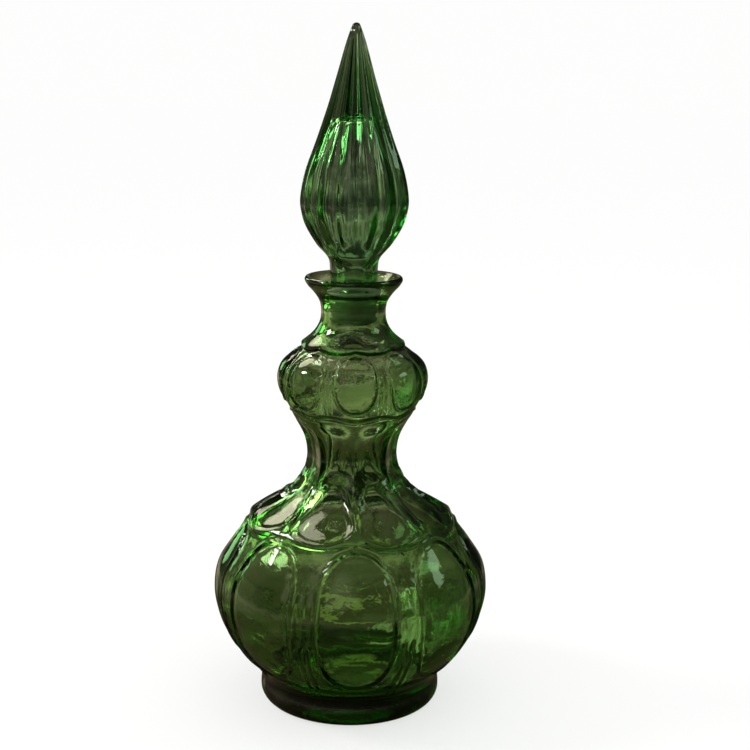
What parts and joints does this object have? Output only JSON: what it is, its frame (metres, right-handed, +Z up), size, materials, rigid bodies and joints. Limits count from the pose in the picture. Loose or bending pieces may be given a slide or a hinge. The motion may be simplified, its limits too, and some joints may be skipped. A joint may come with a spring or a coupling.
{
  "type": "stoppered glass bottle",
  "caption": "Green glass decanter bottle: round foot, large and small bulbs with oval bosses, scalloped cape, fluted waist, flared lip and a lift-off fluted spire stopper with a plastic seal.",
  "frame": {"origin": "middle of the foot's bearing ring, on the surface the bottle stands on", "axes": "+Z up along the bottle's axis; +X and +Y each run through the middle of an oval boss"},
  "size_m": [0.1048, 0.1048, 0.255],
  "materials": {
    "bottle_glass": "glossy bottle-green blown glass",
    "stopper_glass": "glossy bottle-green pressed glass",
    "sleeve_plastic": "natural translucent polyethylene, satin"
  },
  "bodies": {
    "bottle": {"bottle": "bottle_glass"},
    "sleeve": {"sealing_sleeve": "sleeve_plastic"},
    "stopper": {"stopper": "stopper_glass"}
  },
  "joints": [
    {"name": "stopper_lift", "type": "slide", "parent": "bottle", "child": "sleeve", "axis": [0, 0, 1], "range_m": [0, 0.045]},
    {"name": "stopper_turn", "type": "hinge", "parent": "sleeve", "child": "stopper", "pos_m": [0, 0, 0.16], "axis": [0, 0, 1], "continuous": true}
  ]
}
